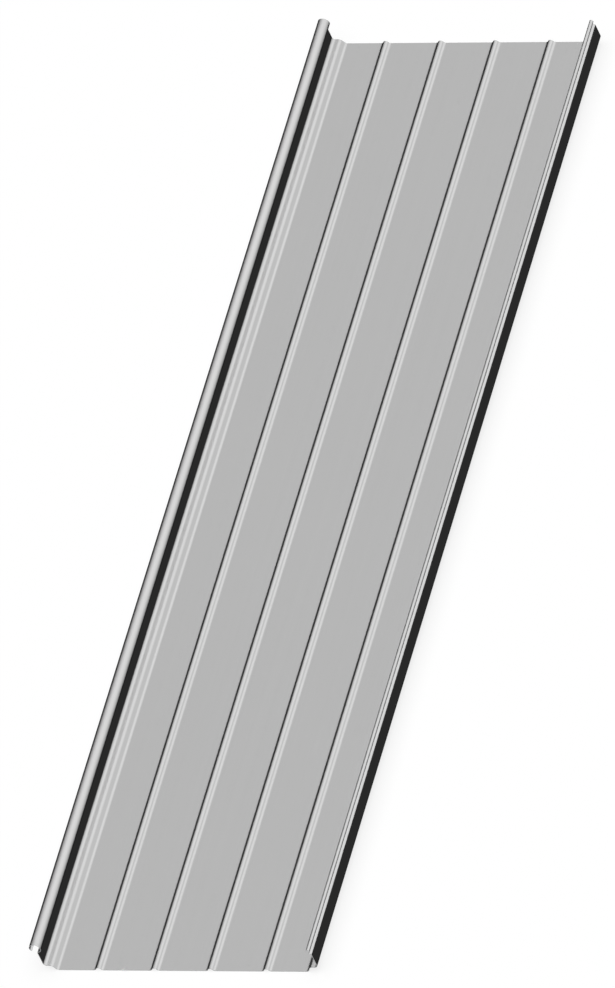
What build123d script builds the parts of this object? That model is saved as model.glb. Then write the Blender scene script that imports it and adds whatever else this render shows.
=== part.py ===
from build123d import *
import math
import os

# Standing seam roofing sheet: one strip of metal, roll formed to a constant section and cut to length.
#
# Seen from its front end, the section starts in an open round bulb, runs down the left leg to a narrow ledge,
# down a slope to the wide flat pan with its stiffening ribs, and up the same way on the right, where the leg
# steps inwards and ends in a curled hook. On a roof the bulb of each sheet closes over the hook of the sheet
# to its left, and the bulb's lip reaches under the curl.
#
# Axes: X across the sheet, Y along its length, Z up. The underside of the pan lies on Z = 0.
# Lengths are in millimetres and angles in degrees.

# The sheet as a whole
sheet_length = 2000.0
cover_width = 500.0  # from the left leg of one laid sheet to the left leg of the next
sheet_thickness = 1.0
bend_radius = 5.5  # inside radius of the wide bends, where the runs beside them leave room
fold_angle = 59.0  # how steeply the slopes and the flanks of the ribs stand
bend_run_share = 0.48  # the most of a straight run that the bend at either end of it takes up

# The step from the pan up to either leg
ledge_rise = 11.4  # from the pan up to the ledge
ledge_width = 14.2  # from the middle of the leg to the corner above the slope

# The stiffening ribs, centred between the legs
rib_count = 4
rib_spacing = 102.0
rib_rise = 5.8
rib_crown_width = 5.4

# The bulb on the left leg, open towards the lower left
seam_height = 68.5  # from the underside of the pan to the top of the bulb
bulb_diameter = 21.0  # over the outside
bulb_offset = 1.1  # how far the middle of the bulb lies to the left of the leg
neck_radius = 2.0  # inside radius where the leg turns out into the bulb
bulb_end_angle = 190.0  # where the round wall ends and the lip starts, counted from +X over the top
lip_radius = 3.5  # inside radius of the lip
lip_turn = 68.0

# The hook on the right leg
hook_leg_height = 47.4  # from the underside of the pan to where the leg turns inwards
shoulder_width = 4.0
shoulder_angle = 32.0  # how steeply the shoulder rises inwards
flare_length = 5.8  # of the run above the shoulder, which leans back outwards
flare_lean = 28.0  # how far that run leans from upright
shoulder_bend_radius = 0.6  # inside radius of the bends at the two ends of the shoulder
curl_radius = 2.4  # inside radius of the curl that ends the hook
curl_turn = 190.0
seam_clearance = 0.3  # between the backs of two legs that stand side by side

# Levels and places that follow, all at mid-thickness, with X counted from the left leg
half_thickness = sheet_thickness / 2
pan_level = half_thickness
ledge_level = pan_level + ledge_rise
slope_run = ledge_rise / math.tan(math.radians(fold_angle))
right_leg = cover_width - sheet_thickness - seam_clearance
rib_flank_run = rib_rise / math.tan(math.radians(fold_angle))


def polar(centre, radius, angle):
    """The point at an angle, counted from +X towards +Z, on a circle in the section."""
    return centre + Vector(radius, 0).rotate(Axis.Z, angle)


def bulb_line():
    """Lip, round wall and neck of the bulb, from the free edge to the top of the left leg."""
    wall_radius = bulb_diameter / 2 - half_thickness
    lip_line_radius = lip_radius + half_thickness
    neck_line_radius = neck_radius + half_thickness
    bulb_centre = Vector(-bulb_offset, seam_height - bulb_diameter / 2)

    # the neck and the wall curve opposite ways, so their centres lie both radii apart
    neck_shift = neck_line_radius + bulb_offset
    neck_drop = math.sqrt((wall_radius + neck_line_radius) ** 2 - neck_shift**2)
    neck_centre = bulb_centre + Vector(neck_shift, -neck_drop)
    start_angle = -math.degrees(math.atan2(neck_drop, neck_shift))

    lip_centre = polar(bulb_centre, wall_radius - lip_line_radius, bulb_end_angle)
    lip = CenterArc(lip_centre, lip_line_radius, bulb_end_angle + lip_turn, -lip_turn)
    wall = CenterArc(bulb_centre, wall_radius, bulb_end_angle, start_angle - bulb_end_angle)
    neck = CenterArc(neck_centre, neck_line_radius, 180 + start_angle, -start_angle)
    return [lip, wall, neck]


def rib_corners(middle):
    """The corners of one rib, from its left foot to its right foot."""
    crown_half = rib_crown_width / 2
    foot_half = crown_half + rib_flank_run
    crown_level = pan_level + rib_rise
    return [
        Vector(middle - foot_half, pan_level),
        Vector(middle - crown_half, crown_level),
        Vector(middle + crown_half, crown_level),
        Vector(middle + foot_half, pan_level),
    ]


def pan_corners():
    """The corners from the left leg's foot, over the pan and its ribs, to the right leg's foot."""
    corners = [
        Vector(0, ledge_level),
        Vector(ledge_width, ledge_level),
        Vector(ledge_width + slope_run, pan_level),
    ]
    first_rib = right_leg / 2 - rib_spacing * (rib_count - 1) / 2
    for number in range(rib_count):
        corners += rib_corners(first_rib + number * rib_spacing)
    corners += [
        Vector(right_leg - ledge_width - slope_run, pan_level),
        Vector(right_leg - ledge_width, ledge_level),
        Vector(right_leg, ledge_level),
    ]
    return corners


def hook_corners():
    """The corners of the hook, from the top of the right leg to the start of the curl."""
    shoulder_rise = shoulder_width * math.tan(math.radians(shoulder_angle))
    leg_top = Vector(right_leg, hook_leg_height)
    shoulder_end = leg_top + Vector(-shoulder_width, shoulder_rise)
    return [leg_top, shoulder_end, polar(shoulder_end, flare_length, 90 - flare_lean)]


def folded_edges(corners, inside_radii):
    """Straight runs between corners, joined by bends that the runs beside them have room for."""
    edges = []
    start = corners[0]
    for before, corner, after, inside_radius in zip(corners, corners[1:], corners[2:], inside_radii):
        run_in = corner - before
        run_out = after - corner
        turn = run_in.get_signed_angle(run_out, Axis.Z.direction)
        half_turn_slope = math.tan(math.radians(abs(turn)) / 2)
        room = bend_run_share * min(run_in.length, run_out.length)
        radius = min(inside_radius + half_thickness, room / half_turn_slope)
        bend_start = corner - run_in.normalized() * radius * half_turn_slope
        bend = JernArc(bend_start, run_in, radius, turn)
        edges += [Line(start, bend_start), bend]
        start = bend @ 1
    edges.append(Line(start, corners[-1]))
    return edges


def section_edges():
    """Runs and bends of the section at mid-thickness, in order from the lip of the bulb to the hook's end."""
    bulb_edges = bulb_line()
    leg_top = bulb_edges[-1] @ 1
    wide_corners = pan_corners()
    narrow_corners = hook_corners()
    corners = [leg_top] + wide_corners + narrow_corners
    inside_radii = [bend_radius] * len(wide_corners) + [shoulder_bend_radius] * (len(narrow_corners) - 1)
    runs = folded_edges(corners, inside_radii)
    curl = JernArc(runs[-1] @ 1, runs[-1] % 1, curl_radius + half_thickness, curl_turn)
    return bulb_edges + runs + [curl]


def sheet_side(edges, distance):
    """One face of the sheet: every run and bend of the section moved sideways by the same distance."""
    side = []
    point_shares = (0, 0.5, 1)
    for edge in edges:
        start, middle, end = [
            edge @ share + (edge % share).rotate(Axis.Z, 90) * distance for share in point_shares
        ]
        if edge.geom_type == GeomType.LINE:
            side.append(Line(start, end))
        else:
            side.append(ThreePointArc(start, middle, end))
    return side


def sheet_section():
    """The whole section as a face, with square cut edges at the lip and the hook."""
    edges = section_edges()
    upper = sheet_side(edges, half_thickness)
    lower = sheet_side(edges, -half_thickness)
    lip_cut = Line(lower[0] @ 0, upper[0] @ 0)
    hook_cut = Line(upper[-1] @ 1, lower[-1] @ 1)
    return make_face(upper + lower + [lip_cut, hook_cut])


sheet = extrude(Plane.XZ * sheet_section(), sheet_length / 2, both=True)
middle = sheet.bounding_box().center()
sheet = Pos(-middle.X, 0, 0) * sheet

os.makedirs("parts", exist_ok=True)
export_step(sheet, "parts/roof_sheet.step")
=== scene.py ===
import math

import bpy
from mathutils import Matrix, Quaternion, Vector


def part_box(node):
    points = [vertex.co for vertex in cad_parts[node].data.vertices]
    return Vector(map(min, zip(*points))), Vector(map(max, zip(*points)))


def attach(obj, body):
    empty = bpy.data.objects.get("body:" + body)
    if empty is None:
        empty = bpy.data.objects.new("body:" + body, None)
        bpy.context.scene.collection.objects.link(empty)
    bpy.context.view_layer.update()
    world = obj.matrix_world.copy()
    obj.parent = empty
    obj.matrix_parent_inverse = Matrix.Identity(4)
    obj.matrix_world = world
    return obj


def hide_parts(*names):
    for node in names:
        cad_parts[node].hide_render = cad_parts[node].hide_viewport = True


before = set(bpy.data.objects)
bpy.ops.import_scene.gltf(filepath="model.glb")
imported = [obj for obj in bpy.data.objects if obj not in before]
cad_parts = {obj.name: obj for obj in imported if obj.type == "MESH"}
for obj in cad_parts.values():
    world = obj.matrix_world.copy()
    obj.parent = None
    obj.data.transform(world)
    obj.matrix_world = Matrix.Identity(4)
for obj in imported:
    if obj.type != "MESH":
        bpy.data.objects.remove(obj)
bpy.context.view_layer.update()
sheet_low, sheet_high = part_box("roof_sheet")

# Standing seam roofing sheet: one strip of coil coated aluminium, roll formed to a constant section.
#
# The section is walked from the lip of the open bulb, down the left leg, over the ribbed pan and up the right
# leg to its curled hook. Its places are (X, Z) at mid-thickness. Lengths are in metres, angles in degrees.

mm = 0.001

# The sheet as a whole
sheet_thickness = 1.0 * mm
bend_radius = 5.5 * mm  # inside radius of the wide bends, where the runs beside them leave room
bend_run_share = 0.48  # the most of a straight run that the bend at either end of it takes up
flat_run_share = 0.015  # how far past a bend, as a share of the straight run, its flat part starts
fold_angle = 59.0  # how steeply the slopes and the flanks of the ribs stand
largest_corner_turn = 60.0  # a longer round stretch is several corners
bend_step = 5.0  # how far each flat of a bend turns
sharp_angle = 45.0  # an edge that turns further, such as a cut edge, stays sharp
station_count = 21  # rows of points along the length
join_distance = 0.01 * mm  # points closer than this are one

# The step from the pan up to either leg
ledge_rise = 11.4 * mm
ledge_width = 14.2 * mm

# The stiffening ribs
rib_count = 4
rib_spacing = 102.0 * mm
rib_rise = 5.8 * mm
rib_crown_width = 5.4 * mm

# The bulb on the left leg, open towards the lower left
bulb_diameter = 21.0 * mm
bulb_offset = 1.1 * mm
neck_radius = 2.0 * mm
bulb_end_angle = 190.0
lip_radius = 3.5 * mm
lip_turn = 68.0

# The hook on the right leg
hook_leg_height = 47.4 * mm
shoulder_width = 4.0 * mm
shoulder_angle = 32.0
flare_length = 5.8 * mm
flare_lean = 28.0
shoulder_bend_radius = 0.6 * mm
curl_radius = 2.4 * mm
curl_turn = 190.0

# Levels and places that follow from the frame
half_thickness = sheet_thickness / 2
sheet_length = sheet_high.y - sheet_low.y
floor_level = sheet_low.z
pan_level = floor_level + half_thickness
ledge_level = pan_level + ledge_rise
bulb_centre = Vector((sheet_low.x + bulb_diameter / 2, sheet_high.z - bulb_diameter / 2))
left_leg = bulb_centre.x + bulb_offset
right_leg = sheet_high.x - half_thickness
slope_run = ledge_rise / math.tan(math.radians(fold_angle))
rib_flank_run = rib_rise / math.tan(math.radians(fold_angle))

# The coat: painted shade, its colour darker the further the face of the sheet is tilted from facing up
face_painted_shade = [
    (108, "#0e0e0e"),
    (93, "#1e1e1e"),
    (87, "#1e1e1e"),
    (82, "#5c5c5c"),
    (75, "#717171"),
    (69, "#7e7e7e"),
    (59, "#8d8d8d"),
    (32, "#a8a8a8"),
    (0, "#b6b6b6"),
]
primer_colour = "#8f8d88"  # of the back where it faces down
primer_tilt = 45.0  # where the face is tilted less than this, its back is all primer
cloud_size = 220.0 * mm  # soft clouds in the thickness of the film
cloud_share = 0.012  # how much lighter or darker they make it
streak_width = 4.0 * mm  # lines that the forming rolls leave along the sheet
streak_length = 900.0 * mm
streak_share = 0.015
streak_depth = 0.004 * mm
flake_size = 1.2 * mm  # the metal flakes, drawn far coarser than they are so that they show
flake_share = 0.03
peel_size = 3.0 * mm  # the waves that the film dried with
peel_depth = 0.008 * mm
coat_roughness = 0.5
roughness_spread = 0.1  # either way, between the lines and what lies beside them

# The cut edges
dull_metal = "#8f9091"
bright_metal = "#b9babb"
shear_mark_size = 0.6 * mm
shear_mark_depth = 0.05 * mm
dull_roughness = 0.6
bright_roughness = 0.35

# The view: a very long lens, because the sheet's long edges stay parallel in the picture
picture_height = 1.6726  # of what the frame takes in at the sheet
view_azimuth = 34.51
view_elevation = 46.26
view_roll = -26.42
look_at = Vector((-0.0265, 0.0029, 0.0168))
lens_length = 1050.0  # millimetres, as the camera counts them
sensor_height = 36.0  # millimetres, along the frame's long side
camera_near = 1.0
camera_far = 200.0

# The light: for the sheet a key from the right, and from below on the left what a floor sends back. A soft
# lamp overhead is for the floor and its shadow, and a little light comes from all round. Each share is of the
# light that falls on the pan.
surround_share = 0.04
level_share = 1 - surround_share  # what a lamp gives a level face
key_tilt = 61.67  # from upright towards the right leg
key_turn = 21.0  # from square across the sheet towards its front end
key_share = level_share / math.cos(math.radians(key_tilt))  # what the key gives a face square to it
return_tilt = -140.0  # from upright towards the left leg, and on past level to below
return_share = 2.0  # what the floor sends back to a face square to it
floor_lamp_spread = 70.0  # how wide the lamp looks from the floor, for a soft shadow
floor_half_width = 20.0
floor_glow_share = 0.8  # of the floor's white that no shadow reaches
floor_bounce_colour = "#303030"  # what the floor is to the light that it throws up


def polar(centre, radius, angle):
    """The place at an angle, counted from +X towards +Z, on a circle in the section."""
    return centre + radius * Vector((math.cos(math.radians(angle)), math.sin(math.radians(angle))))


def round_corners(centre, radius, start, turn):
    """The corners that a round stretch is bent from, each with its radius."""
    count = math.ceil(abs(turn) / largest_corner_turn)
    step = turn / count
    reach = radius / math.cos(math.radians(step / 2))
    middle_share = 0.5
    return [(polar(centre, reach, start + step * (number + middle_share)), radius) for number in range(count)]


def fold_corners(places, inside_radii):
    """The corners between the first and the last place, each with the radius that its runs have room for.

    On either side of a corner a point without a bend marks where the run is flat.
    """
    corners = []
    for before, corner, after, inside_radius in zip(places, places[1:], places[2:], inside_radii):
        run_in = corner - before
        run_out = after - corner
        half_turn_slope = math.tan(run_in.angle(run_out) / 2)
        room = bend_run_share * min(run_in.length, run_out.length)
        radius = min(inside_radius + half_thickness, room / half_turn_slope)
        bend_reach = radius * half_turn_slope
        flat_before = corner - run_in.normalized() * bend_reach - run_in * flat_run_share
        flat_after = corner + run_out.normalized() * bend_reach + run_out * flat_run_share
        corners += [(flat_before, 0), (corner, radius), (flat_after, 0)]
    return corners


def bulb_corners():
    """The free edge, the lip, the round wall and the neck, and the place where the left leg starts."""
    wall_radius = bulb_diameter / 2 - half_thickness
    lip_line_radius = lip_radius + half_thickness
    neck_line_radius = neck_radius + half_thickness
    neck_shift = neck_line_radius + bulb_offset
    neck_drop = math.sqrt((wall_radius + neck_line_radius) ** 2 - neck_shift**2)
    neck_centre = bulb_centre + Vector((neck_shift, -neck_drop))
    wall_start = -math.degrees(math.atan2(neck_drop, neck_shift))
    lip_centre = polar(bulb_centre, wall_radius - lip_line_radius, bulb_end_angle)

    free_edge = polar(lip_centre, lip_line_radius, bulb_end_angle + lip_turn)
    corners = [(free_edge, 0)]
    corners += round_corners(lip_centre, lip_line_radius, bulb_end_angle + lip_turn, -lip_turn)
    corners += round_corners(bulb_centre, wall_radius, bulb_end_angle, wall_start - bulb_end_angle)
    corners += round_corners(neck_centre, neck_line_radius, 180 + wall_start, -wall_start)
    return corners, Vector((left_leg, neck_centre.y))


def pan_places():
    """The folds from the left leg's foot, over the pan and its ribs, to the right leg's foot."""
    places = [
        Vector((left_leg, ledge_level)),
        Vector((left_leg + ledge_width, ledge_level)),
        Vector((left_leg + ledge_width + slope_run, pan_level)),
    ]
    crown_half = rib_crown_width / 2
    foot_half = crown_half + rib_flank_run
    for number in range(rib_count):
        middle = (left_leg + right_leg) / 2 + rib_spacing * (number - (rib_count - 1) / 2)
        places += [
            Vector((middle - foot_half, pan_level)),
            Vector((middle - crown_half, pan_level + rib_rise)),
            Vector((middle + crown_half, pan_level + rib_rise)),
            Vector((middle + foot_half, pan_level)),
        ]
    places += [
        Vector((right_leg - ledge_width - slope_run, pan_level)),
        Vector((right_leg - ledge_width, ledge_level)),
        Vector((right_leg, ledge_level)),
    ]
    return places


def hook_places():
    """The folds of the hook, from the top of the right leg to the start of the curl."""
    shoulder_rise = shoulder_width * math.tan(math.radians(shoulder_angle))
    leg_top = Vector((right_leg, floor_level + hook_leg_height))
    shoulder_end = leg_top + Vector((-shoulder_width, shoulder_rise))
    return [leg_top, shoulder_end, polar(shoulder_end, flare_length, 90 - flare_lean)]


def section_corners():
    """Every corner of the section with its radius, from the lip of the bulb to the hook's end."""
    bulb, leg_start = bulb_corners()
    wide = pan_places()
    narrow = hook_places()
    inside_radii = [bend_radius] * len(wide) + [shoulder_bend_radius] * (len(narrow) - 1)
    folds = fold_corners([leg_start] + wide + narrow, inside_radii)

    curl_line_radius = curl_radius + half_thickness
    curl_centre = polar(narrow[-1], curl_line_radius, 180 - flare_lean)
    curl = round_corners(curl_centre, curl_line_radius, -flare_lean, curl_turn)
    free_edge = polar(curl_centre, curl_line_radius, curl_turn - flare_lean)
    return bulb + folds + curl + [(free_edge, 0)]


def bend_steps(before, corner, after):
    """How many flats a bend is made of."""
    turn = math.degrees((corner - before).angle(after - corner))
    return max(1, math.ceil(turn / bend_step))


def add_node(tree, kind, inputs=None, **settings):
    """Adds a node with its settings and its inputs, each a plain value or the socket that feeds it."""
    node = tree.nodes.new(kind)
    for name, value in settings.items():
        setattr(node, name, value)
    for socket, value in (inputs or {}).items():
        if isinstance(value, bpy.types.NodeSocket):
            tree.links.new(value, node.inputs[socket])
        else:
            node.inputs[socket].default_value = value
    return node


def linear(hex_colour):
    """An sRGB hex colour as linear red, green, blue and alpha."""
    channels = [int(hex_colour[start : start + 2], 16) / 255 for start in (1, 3, 5)]
    return [c / 12.92 if c <= 0.04045 else ((c + 0.055) / 1.055) ** 2.4 for c in channels] + [1]


def section_mesh():
    """The section's corners in a row of edges, each corner with its bend radius and its number of flats."""
    corners = section_corners()
    places = [place for place, radius in corners]
    inner_steps = [bend_steps(*neighbours) for neighbours in zip(places, places[1:], places[2:])]
    mesh = bpy.data.meshes.new("section")
    edges = [(number, number + 1) for number in range(len(places) - 1)]
    mesh.from_pydata([(place.x, 0, place.y) for place in places], edges, [])
    radii = mesh.attributes.new("bend_radius", "FLOAT", "POINT")
    radii.data.foreach_set("value", [radius for place, radius in corners])
    steps = mesh.attributes.new("bend_steps", "INT", "POINT")
    steps.data.foreach_set("value", [1] + inner_steps + [1])
    return mesh


def roll_forming_tree():
    """Bends the section's corners round, draws the section out along the sheet and gives it its thickness."""
    tree = bpy.data.node_groups.new("roll_forming", "GeometryNodeTree")
    tree.interface.new_socket("Section", in_out="INPUT", socket_type="NodeSocketGeometry")
    for name in ("Length", "Thickness", "Join Distance"):
        tree.interface.new_socket(name, in_out="INPUT", socket_type="NodeSocketFloat")
    tree.interface.new_socket("Stations", in_out="INPUT", socket_type="NodeSocketInt")
    for name in ("Face Coat", "Back Coat", "Cut Edge"):
        tree.interface.new_socket(name, in_out="INPUT", socket_type="NodeSocketMaterial")
    tree.interface.new_socket("Sheet", in_out="OUTPUT", socket_type="NodeSocketGeometry")
    given = add_node(tree, "NodeGroupInput").outputs

    # the section's line, with its corners bent round
    radius = add_node(tree, "GeometryNodeInputNamedAttribute", {"Name": "bend_radius"}, data_type="FLOAT")
    steps = add_node(tree, "GeometryNodeInputNamedAttribute", {"Name": "bend_steps"}, data_type="INT")
    corners = add_node(tree, "GeometryNodeMeshToCurve", {"Mesh": given["Section"]})
    bent = add_node(
        tree,
        "GeometryNodeFilletCurve",
        {
            "Curve": corners.outputs["Curve"],
            "Count": steps.outputs["Attribute"],
            "Radius": radius.outputs["Attribute"],
            "Limit Radius": True,
        },
        mode="POLY",
    )
    level = add_node(
        tree,
        "GeometryNodeSetCurveNormal",
        {"Curve": bent.outputs["Curve"], "Normal": (0, 1, 0)},
        mode="FREE",
    )

    # a straight line of stations, along which the section is drawn out
    half_length = add_node(tree, "ShaderNodeMath", {0: given["Length"], 1: 2}, operation="DIVIDE")
    back_end = add_node(tree, "ShaderNodeCombineXYZ", {"X": half_length.outputs[0]})
    front_end = add_node(
        tree,
        "ShaderNodeVectorMath",
        {0: back_end.outputs[0], "Scale": -1},
        operation="SCALE",
    )
    line = add_node(
        tree,
        "GeometryNodeCurvePrimitiveLine",
        {"Start": back_end.outputs[0], "End": front_end.outputs[0]},
    )
    stations = add_node(
        tree,
        "GeometryNodeResampleCurve",
        {"Curve": line.outputs["Curve"], "Count": given["Stations"]},
    )
    drawn = add_node(
        tree,
        "GeometryNodeCurveToMesh",
        {"Curve": level.outputs["Curve"], "Profile Curve": stations.outputs["Curve"]},
    )
    joined = add_node(
        tree,
        "GeometryNodeMergeByDistance",
        {"Geometry": drawn.outputs["Mesh"], "Distance": given["Join Distance"]},
    )

    # how far the sheet's face looks up at each point, for the painted shade in the coat
    normal = add_node(tree, "GeometryNodeInputNormal")
    normal_parts = add_node(tree, "ShaderNodeSeparateXYZ", {"Vector": normal.outputs["Normal"]})
    middle = add_node(
        tree,
        "GeometryNodeStoreNamedAttribute",
        {"Geometry": joined.outputs["Geometry"], "Name": "faces_up", "Value": normal_parts.outputs["Z"]},
        data_type="FLOAT",
        domain="POINT",
    )

    # the back of the sheet half a thickness down, and the face one thickness above it
    half_down = add_node(tree, "ShaderNodeMath", {0: given["Thickness"], 1: -2}, operation="DIVIDE")
    drop = add_node(
        tree,
        "ShaderNodeVectorMath",
        {0: normal.outputs["Normal"], "Scale": half_down.outputs[0]},
        operation="SCALE",
    )
    back = add_node(
        tree,
        "GeometryNodeSetPosition",
        {"Geometry": middle.outputs["Geometry"], "Offset": drop.outputs[0]},
    )
    face = add_node(
        tree,
        "GeometryNodeExtrudeMesh",
        {"Mesh": back.outputs["Geometry"], "Offset Scale": given["Thickness"], "Individual": False},
        mode="FACES",
    )
    turned = add_node(tree, "GeometryNodeFlipFaces", {"Mesh": back.outputs["Geometry"]})
    marked = add_node(
        tree,
        "GeometryNodeStoreNamedAttribute",
        {"Geometry": turned.outputs["Mesh"], "Name": "is_back", "Value": True},
        data_type="BOOLEAN",
        domain="FACE",
    )
    both = add_node(tree, "GeometryNodeJoinGeometry", {"Geometry": face.outputs["Mesh"]})
    tree.links.new(marked.outputs["Geometry"], both.inputs["Geometry"])
    closed = add_node(
        tree,
        "GeometryNodeMergeByDistance",
        {"Geometry": both.outputs["Geometry"], "Distance": given["Join Distance"]},
    )

    # the finishes
    real = add_node(tree, "GeometryNodeRealizeInstances", {"Geometry": closed.outputs["Geometry"]})
    is_back = add_node(tree, "GeometryNodeInputNamedAttribute", {"Name": "is_back"}, data_type="BOOLEAN")
    coated = add_node(
        tree,
        "GeometryNodeSetMaterial",
        {"Geometry": real.outputs["Geometry"], "Material": given["Face Coat"]},
    )
    lined = add_node(
        tree,
        "GeometryNodeSetMaterial",
        {
            "Geometry": coated.outputs["Geometry"],
            "Selection": is_back.outputs["Attribute"],
            "Material": given["Back Coat"],
        },
    )
    edged = add_node(
        tree,
        "GeometryNodeSetMaterial",
        {
            "Geometry": lined.outputs["Geometry"],
            "Selection": face.outputs["Side"],
            "Material": given["Cut Edge"],
        },
    )
    add_node(tree, "NodeGroupOutput", {"Sheet": edged.outputs["Geometry"]})
    return tree


def coat_material(name, tones):
    """Polyester coil coat with metal flakes, rolled onto the flat strip before it was formed."""
    # Its colour is painted shade by tilt: matt light grey wherever the sheet faces up, darker grey on its
    # slopes and charcoal on its upright legs. Close by, there are faint lines along the sheet, soft clouds,
    # the flakes' grain and the slight waves that the film dried with.
    material = bpy.data.materials.new(name)
    material.use_nodes = True
    tree = material.node_tree
    shader = tree.nodes["Principled BSDF"]
    place = add_node(tree, "ShaderNodeTexCoord").outputs["Object"]

    # the painted shade of the film at this tilt of the sheet
    upward = add_node(tree, "ShaderNodeAttribute", attribute_name="faces_up")
    tilt = add_node(
        tree,
        "ShaderNodeMapRange",
        {"Value": upward.outputs["Fac"], "From Min": -1, "From Max": 1},
    )
    painted_shade_ramp = add_node(tree, "ShaderNodeValToRGB", {"Fac": tilt.outputs["Result"]})
    stops = painted_shade_ramp.color_ramp.elements
    while len(stops) < len(tones):
        stops.new(1)
    for stop, (stop_tilt, colour) in zip(stops, tones):
        stop.position = (1 + math.cos(math.radians(stop_tilt))) / 2
        stop.color = linear(colour)

    # what makes it lighter and darker from place to place
    clouds = add_node(tree, "ShaderNodeTexNoise", {"Vector": place, "Scale": 1 / cloud_size, "Detail": 2})
    flakes = add_node(tree, "ShaderNodeTexNoise", {"Vector": place, "Scale": 1 / flake_size, "Detail": 1})
    drawn_out = add_node(
        tree,
        "ShaderNodeMapping",
        {"Vector": place, "Scale": (1 / streak_width, 1 / streak_length, 1 / streak_width)},
    )
    streaks = add_node(tree, "ShaderNodeTexNoise", {"Vector": drawn_out.outputs[0], "Scale": 1, "Detail": 2})
    shade = 1
    for pattern, share in ((clouds, cloud_share), (flakes, flake_share), (streaks, streak_share)):
        change = add_node(
            tree,
            "ShaderNodeMapRange",
            {"Value": pattern.outputs["Fac"], "To Min": 1 - share, "To Max": 1 + share},
        )
        product = add_node(tree, "ShaderNodeMath", {0: change.outputs[0], 1: shade}, operation="MULTIPLY")
        shade = product.outputs[0]
    colour = add_node(
        tree,
        "ShaderNodeVectorMath",
        {0: painted_shade_ramp.outputs["Color"], "Scale": shade},
        operation="SCALE",
    )
    tree.links.new(colour.outputs[0], shader.inputs["Base Color"])

    # the lines are rubbed smoother than the rest
    rubbed = add_node(
        tree,
        "ShaderNodeMapRange",
        {
            "Value": streaks.outputs["Fac"],
            "To Min": coat_roughness + roughness_spread,
            "To Max": coat_roughness - roughness_spread,
        },
    )
    tree.links.new(rubbed.outputs[0], shader.inputs["Roughness"])
    shader.inputs["Specular IOR Level"].default_value = 0

    # the waves of the film, with the lines pressed into them
    peel = add_node(tree, "ShaderNodeTexNoise", {"Vector": place, "Scale": 1 / peel_size, "Detail": 1})
    waves = add_node(
        tree,
        "ShaderNodeBump",
        {"Height": peel.outputs["Fac"], "Distance": peel_depth, "Strength": 1},
    )
    lines = add_node(
        tree,
        "ShaderNodeBump",
        {
            "Height": streaks.outputs["Fac"],
            "Distance": streak_depth,
            "Strength": 1,
            "Normal": waves.outputs["Normal"],
        },
    )
    tree.links.new(lines.outputs["Normal"], shader.inputs["Normal"])
    return material


def cut_edge_material():
    """Bare aluminium where the strip was sheared: a dull broken edge with brighter torn specks."""
    material = bpy.data.materials.new("sheared_aluminium")
    material.use_nodes = True
    tree = material.node_tree
    shader = tree.nodes["Principled BSDF"]
    shader.inputs["Metallic"].default_value = 1
    place = add_node(tree, "ShaderNodeTexCoord").outputs["Object"]
    marks = add_node(tree, "ShaderNodeTexNoise", {"Vector": place, "Scale": 1 / shear_mark_size, "Detail": 3})
    colour = add_node(
        tree,
        "ShaderNodeMix",
        {"Factor": marks.outputs["Fac"], "A": linear(dull_metal), "B": linear(bright_metal)},
        data_type="RGBA",
    )
    tree.links.new(colour.outputs["Result"], shader.inputs["Base Color"])
    gloss = add_node(
        tree,
        "ShaderNodeMapRange",
        {"Value": marks.outputs["Fac"], "To Min": dull_roughness, "To Max": bright_roughness},
    )
    tree.links.new(gloss.outputs[0], shader.inputs["Roughness"])
    torn = add_node(
        tree,
        "ShaderNodeBump",
        {"Height": marks.outputs["Fac"], "Distance": shear_mark_depth, "Strength": 1},
    )
    tree.links.new(torn.outputs["Normal"], shader.inputs["Normal"])
    return material


def finished_mesh(piece, mesh_name):
    """The piece's mesh with its modifiers applied."""
    graph = bpy.context.evaluated_depsgraph_get()
    mesh = bpy.data.meshes.new_from_object(piece.evaluated_get(graph), depsgraph=graph)
    mesh.name = mesh_name
    mesh.materials.pop(index=0)  # the section's own empty slot
    piece.modifiers.clear()
    piece.data = mesh
    return mesh


def make_sheet():
    """The whole sheet, standing for the solid in the frame."""
    # the back carries the same painted shade by tilt, with the real primer colour where it faces down
    back_painted_shade_and_primer = [(180 - tilt, colour) for tilt, colour in reversed(face_painted_shade)]
    back_painted_shade_and_primer.append((primer_tilt, primer_colour))
    tree = roll_forming_tree()
    sheet = bpy.data.objects.new("roof_sheet_dressed", section_mesh())
    bpy.context.scene.collection.objects.link(sheet)
    forming = sheet.modifiers.new("roll_forming", "NODES")
    forming.node_group = tree
    settings = {
        "Length": sheet_length,
        "Thickness": sheet_thickness,
        "Join Distance": join_distance,
        "Stations": station_count,
        "Face Coat": coat_material("coil_coat_and_painted_shade", face_painted_shade),
        "Back Coat": coat_material("back_coat_and_painted_shade", back_painted_shade_and_primer),
        "Cut Edge": cut_edge_material(),
    }
    for socket in tree.interface.items_tree:
        if socket.name in settings:
            forming[socket.identifier] = settings[socket.name]
    mesh = finished_mesh(sheet, "roof_sheet_dressed")
    mesh.shade_smooth()
    mesh.set_sharp_from_angle(angle=math.radians(sharp_angle))
    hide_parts("roof_sheet")
    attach(sheet, "root")
    sheet.visible_diffuse = False  # no light goes from one fold of the sheet to the next
    return sheet


def seen_directly(tree):
    """1 for what is seen, in a mirror or through glass too, and 0 for light on its way to the sheet."""
    path = add_node(tree, "ShaderNodeLightPath").outputs
    seen = path["Is Camera Ray"]
    for ray in ("Is Glossy Ray", "Is Transmission Ray"):
        seen = add_node(tree, "ShaderNodeMath", {0: seen, 1: path[ray]}, operation="MAXIMUM").outputs[0]
    return seen


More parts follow.
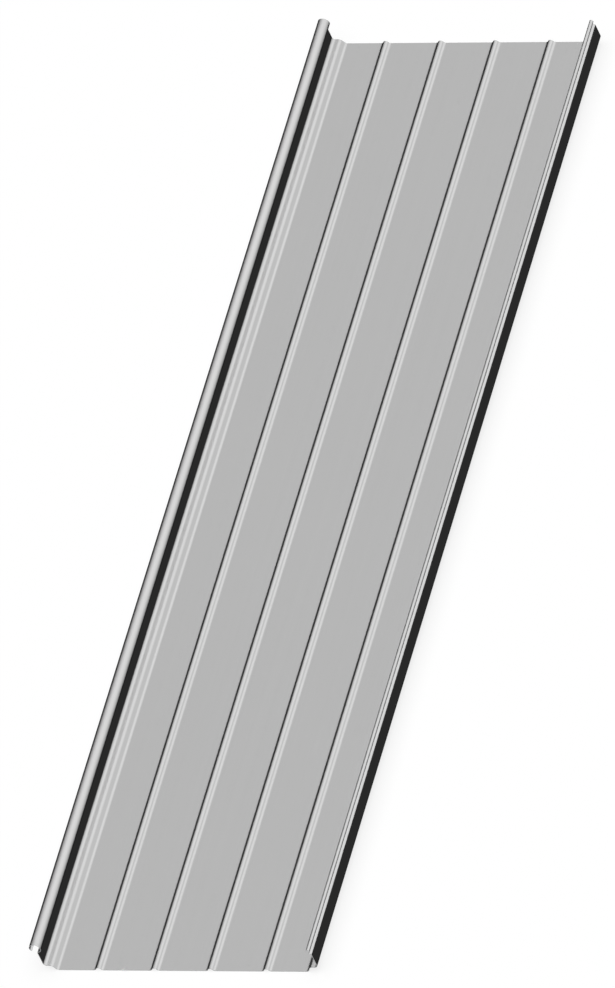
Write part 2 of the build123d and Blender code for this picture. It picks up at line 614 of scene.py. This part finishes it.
def make_floor():
    """A white floor that keeps a light shadow."""
    mesh = bpy.data.meshes.new("floor")
    half = floor_half_width
    corners = [(-half, -half), (half, -half), (half, half), (-half, half)]
    mesh.from_pydata([(x, y, floor_level) for x, y in corners], [], [(0, 1, 2, 3)])
    floor = bpy.data.objects.new("floor", mesh)
    bpy.context.scene.collection.objects.link(floor)
    material = bpy.data.materials.new("white_studio_floor")
    material.use_nodes = True
    tree = material.node_tree
    tree.nodes.clear()
    paper = add_node(tree, "ShaderNodeBsdfDiffuse", {"Color": linear("#ffffff")})
    glow = add_node(tree, "ShaderNodeEmission", {"Color": linear("#ffffff"), "Strength": 1})
    lit = add_node(
        tree,
        "ShaderNodeMixShader",
        {0: floor_glow_share, 1: paper.outputs[0], 2: glow.outputs[0]},
    )
    bounce = add_node(tree, "ShaderNodeBsdfDiffuse", {"Color": linear(floor_bounce_colour)})
    chosen = add_node(
        tree,
        "ShaderNodeMixShader",
        {0: seen_directly(tree), 1: bounce.outputs[0], 2: lit.outputs[0]},
    )
    add_node(tree, "ShaderNodeOutputMaterial", {"Surface": chosen.outputs[0]})
    mesh.materials.append(material)
    return floor


def make_world():
    """White wherever it is seen, and dim as a light."""
    world = bpy.data.worlds.new("studio")
    world.use_nodes = True
    tree = world.node_tree
    tree.nodes.clear()
    strength = add_node(
        tree,
        "ShaderNodeMapRange",
        {"Value": seen_directly(tree), "To Min": surround_share, "To Max": 1},
    )
    white = add_node(
        tree,
        "ShaderNodeBackground",
        {"Color": linear("#ffffff"), "Strength": strength.outputs[0]},
    )
    add_node(tree, "ShaderNodeOutputWorld", {"Surface": white.outputs[0]})
    bpy.context.scene.world = world


def make_lamp(name, lit_piece, share, tilt=0, turn=0, spread=0, casts_shadow=False):
    """A far lamp for one piece alone, tilted from upright to the right and turned to the front."""
    across = math.sin(math.radians(tilt))
    upwards = math.cos(math.radians(tilt))
    to_front = math.radians(turn)
    towards = Vector((across * math.cos(to_front), -across * math.sin(to_front), upwards))
    lamp = bpy.data.lights.new(name, "SUN")
    lamp.energy = math.pi * share
    lamp.angle = math.radians(spread)
    lamp.use_shadow = casts_shadow
    holder = bpy.data.objects.new(name, lamp)
    holder.rotation_mode = "QUATERNION"
    holder.rotation_quaternion = towards.to_track_quat("Z", "Y")
    bpy.context.scene.collection.objects.link(holder)
    lit = bpy.data.collections.new(name + "_reach")
    lit.objects.link(lit_piece)
    holder.light_linking.receiver_collection = lit


def make_camera():
    """The camera, at the picture's viewing angle."""
    azimuth = math.radians(view_azimuth)
    elevation = math.radians(view_elevation)
    level_reach = math.cos(elevation)
    back = Vector((math.sin(azimuth) * level_reach, -math.cos(azimuth) * level_reach, math.sin(elevation)))
    lens = bpy.data.cameras.new("camera")
    lens.lens = lens_length
    lens.sensor_width = sensor_height
    lens.clip_start = camera_near
    lens.clip_end = camera_far
    camera = bpy.data.objects.new("camera", lens)
    camera.rotation_mode = "QUATERNION"
    roll = Quaternion((0, 0, 1), math.radians(view_roll))
    camera.rotation_quaternion = (-back).to_track_quat("-Z", "Y") @ roll
    camera.location = look_at + back * (picture_height * lens_length / sensor_height)
    bpy.context.scene.collection.objects.link(camera)
    bpy.context.scene.camera = camera


sheet = make_sheet()
floor = make_floor()
make_world()
make_lamp("key_lamp", sheet, key_share, key_tilt, key_turn)
make_lamp("return_lamp", sheet, return_share, return_tilt)
make_lamp("floor_lamp", floor, level_share, spread=floor_lamp_spread, casts_shadow=True)
make_camera()
bpy.context.scene.view_settings.view_transform = "Standard"
